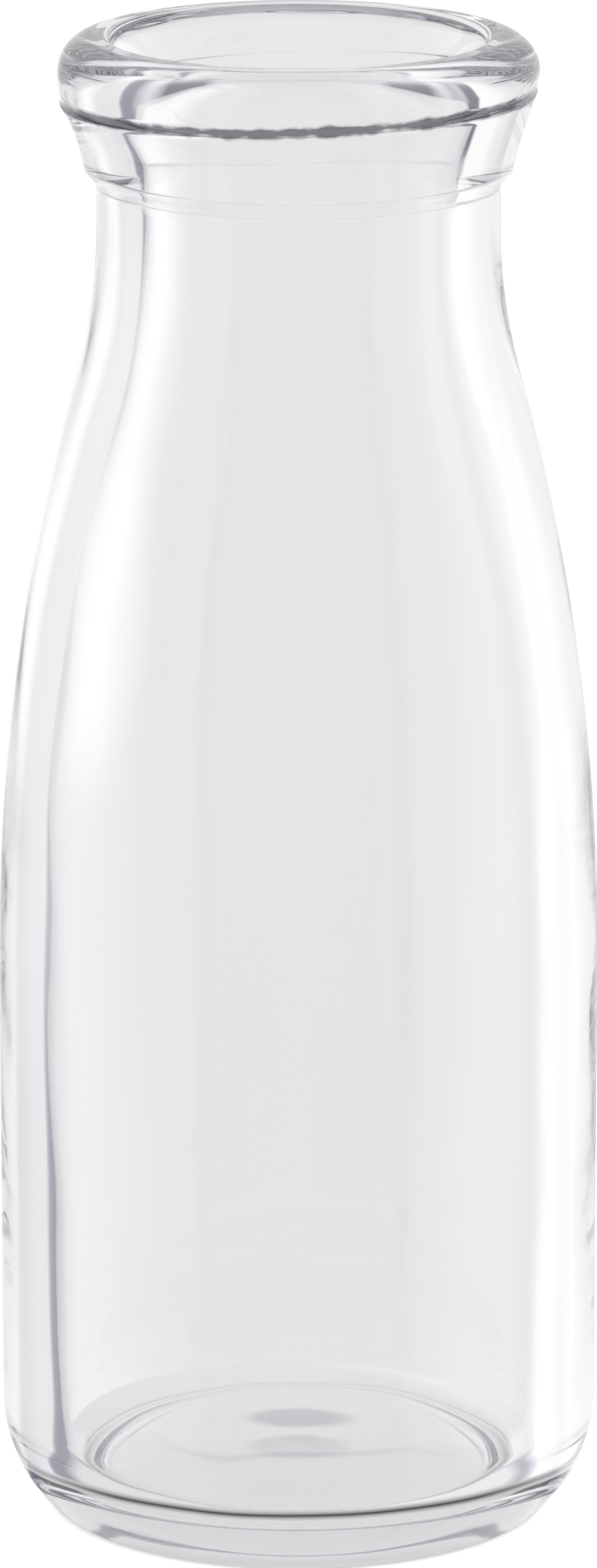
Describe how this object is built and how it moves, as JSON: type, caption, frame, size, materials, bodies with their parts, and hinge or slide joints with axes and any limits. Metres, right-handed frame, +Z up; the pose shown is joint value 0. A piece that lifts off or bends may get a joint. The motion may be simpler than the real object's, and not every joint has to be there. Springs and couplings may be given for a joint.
{
  "type": "milk bottle",
  "caption": "Clear glass milk bottle with a wide funnel mouth, rounded rim, tapered collar, long sloping shoulder and domed base.",
  "frame": {"origin": "centre of the bearing ring, on the plane the bottle stands on", "axes": "+Z up along the bottle's axis, out of the mouth; X and Y alike, with the picture taken from -Y"},
  "size_m": [0.0635, 0.0634, 0.1586],
  "materials": {
    "glass": "clear gloss"
  },
  "bodies": {
    "root": {"bottle": "glass"}
  },
  "joints": []
}
